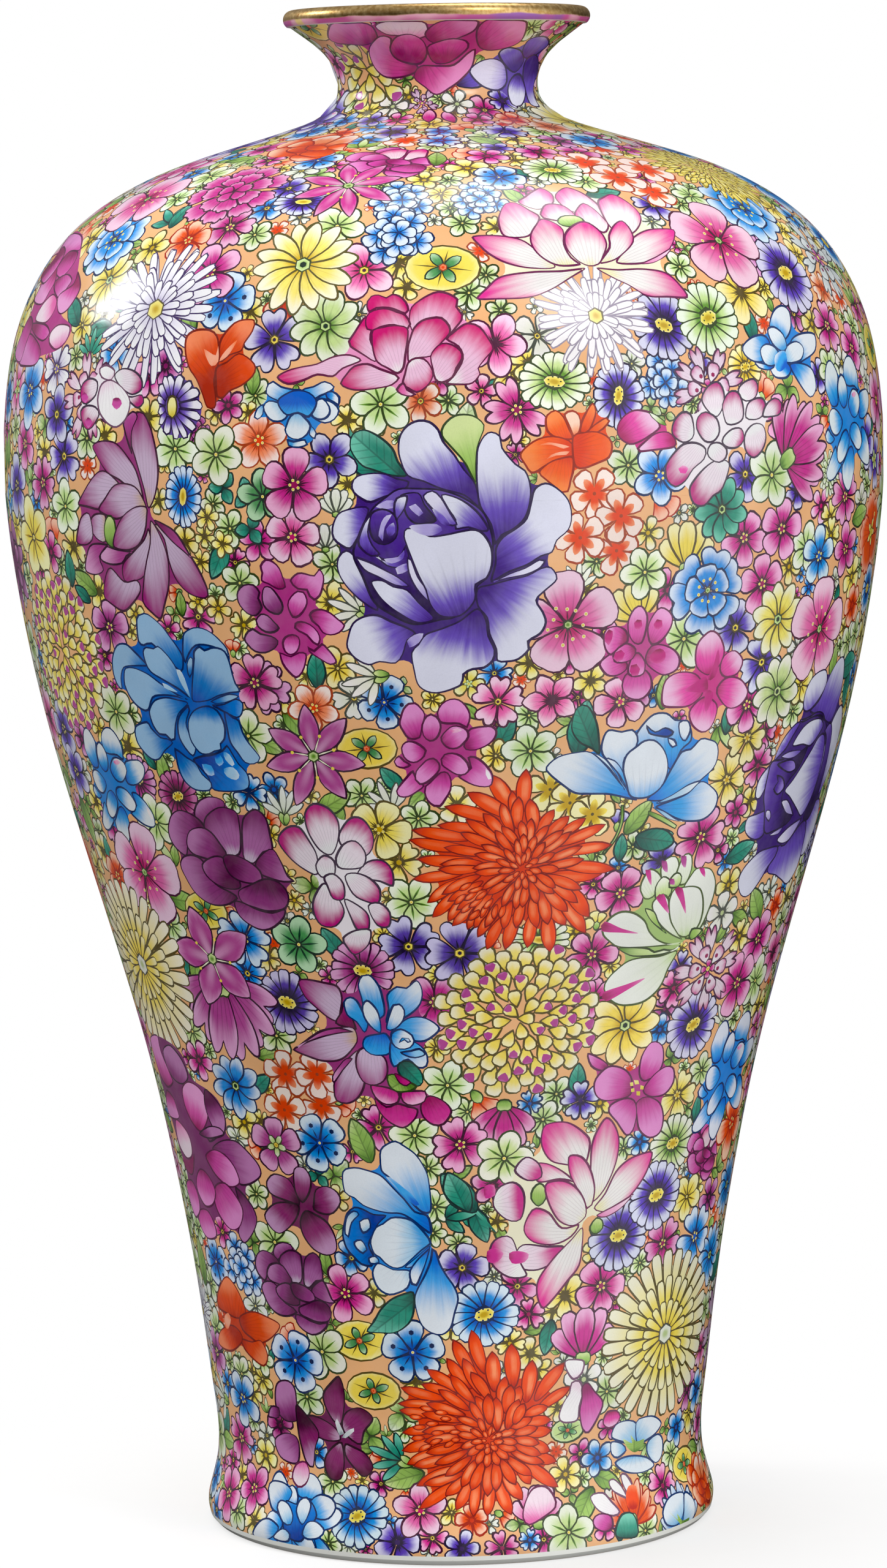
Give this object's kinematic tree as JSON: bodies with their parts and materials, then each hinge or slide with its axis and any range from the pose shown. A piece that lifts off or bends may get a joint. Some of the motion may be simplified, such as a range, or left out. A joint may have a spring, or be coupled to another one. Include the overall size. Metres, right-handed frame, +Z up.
{
  "type": "vase",
  "caption": "Baluster vase of meiping form with broad round shoulder, short waisted neck, flared lip and splayed foot, for flowers or display.",
  "frame": {"origin": "centre of the foot ring's resting plane", "axes": "+Z up along the turning axis; the side in the picture faces -Y"},
  "size_m": [0.2432, 0.2432, 0.42],
  "materials": {
    "enamelled_porcelain": "glossy clear glaze over white porcelain, covered outside with many-coloured raised enamels in an all-over flower ground",
    "fired_gold": "burnished gold fired on the lip, slightly worn",
    "joint_slip": "glazed-over slip, smoothed by a sponge"
  },
  "bodies": {
    "root": {"foot_section": "enamelled_porcelain", "lower_body_section": "enamelled_porcelain", "belly_section": "enamelled_porcelain", "shoulder_section": "enamelled_porcelain", "neck_section": "enamelled_porcelain", "gilt_lip_band": "fired_gold", "slip_fillet_foot": "joint_slip", "slip_fillet_lower_body": "joint_slip", "slip_fillet_belly": "joint_slip", "slip_fillet_neck": "joint_slip"}
  },
  "joints": []
}
